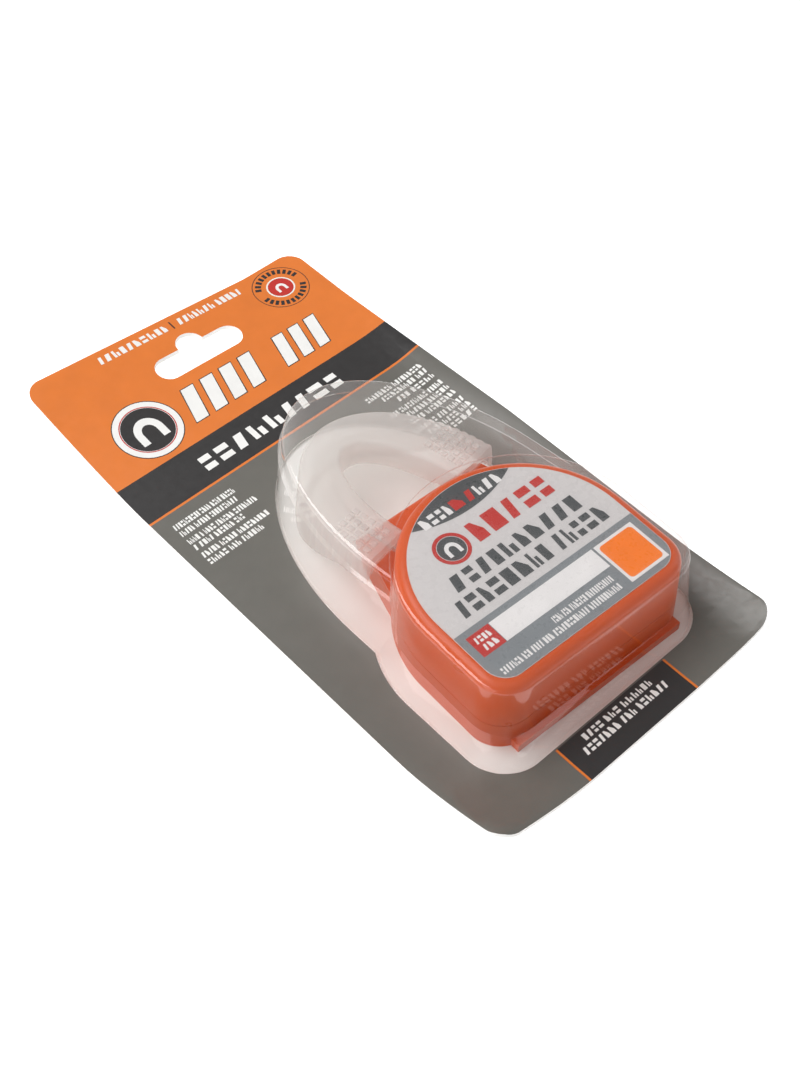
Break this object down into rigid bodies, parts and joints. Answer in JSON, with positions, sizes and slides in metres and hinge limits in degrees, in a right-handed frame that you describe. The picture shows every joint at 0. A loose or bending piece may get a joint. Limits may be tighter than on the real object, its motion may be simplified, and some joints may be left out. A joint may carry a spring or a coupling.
{
  "type": "mouthguard with case",
  "caption": "Boil-and-bite mouthguard and hinged D-shaped case under a clear blister between a windowed front card and a plain back card with a hang slot.",
  "frame": {"origin": "centre of the back card's rear face, which the pack rests on", "axes": "+Z out of the printed front, +Y towards the hang slot, X across the card"},
  "size_m": [0.105, 0.203, 0.0272],
  "materials": {
    "card_front": "printed, satin varnish",
    "card_back": "white board, satin",
    "blister_film": "clear thermoformed film, slightly hazy",
    "case_plastic": "moulded, semi-gloss orange",
    "pin_plastic": "moulded orange",
    "label_paper": "printed label, gloss film",
    "guard_shell": "translucent, satin",
    "guard_liner": "translucent, smooth",
    "bite_pad": "translucent, matte"
  },
  "bodies": {
    "back": {"back_card": "card_back"},
    "front": {"front_card": "card_front", "blister": "blister_film"},
    "case": {"case_base": "case_plastic", "hinge_pin": "pin_plastic"},
    "lid": {"case_lid": "case_plastic", "lid_label": "label_paper"},
    "guard": {"mouthguard_shell": "guard_shell", "mouthguard_liner": "guard_liner", "bite_pad_left": "bite_pad", "bite_pad_right": "bite_pad"}
  },
  "joints": [
    {"name": "pack_open", "type": "slide", "parent": "back", "child": "front", "axis": [0, 0, 1], "range_m": [0, 0.2]},
    {"name": "case_out", "type": "slide", "parent": "back", "child": "case", "axis": [0, -0.9397, 0.342], "range_m": [0, 0.031]},
    {"name": "lid_hinge", "type": "hinge", "parent": "case", "child": "lid", "pos_m": [0.00555, -0.01119, 0.0074], "axis": [-0.9992, 0.0401, 0], "range_deg": [0, 110]},
    {"name": "guard_lift", "type": "slide", "parent": "back", "child": "guard", "axis": [0, 0, 1], "range_m": [0, 0.171]}
  ],
  "couplings": [
    {"joint": "case_out", "follows": "pack_open", "ratio": 0.15},
    {"joint": "lid_hinge", "follows": "pack_open", "rad_per_m": 9.5},
    {"joint": "guard_lift", "follows": "pack_open", "ratio": 0.85}
  ]
}
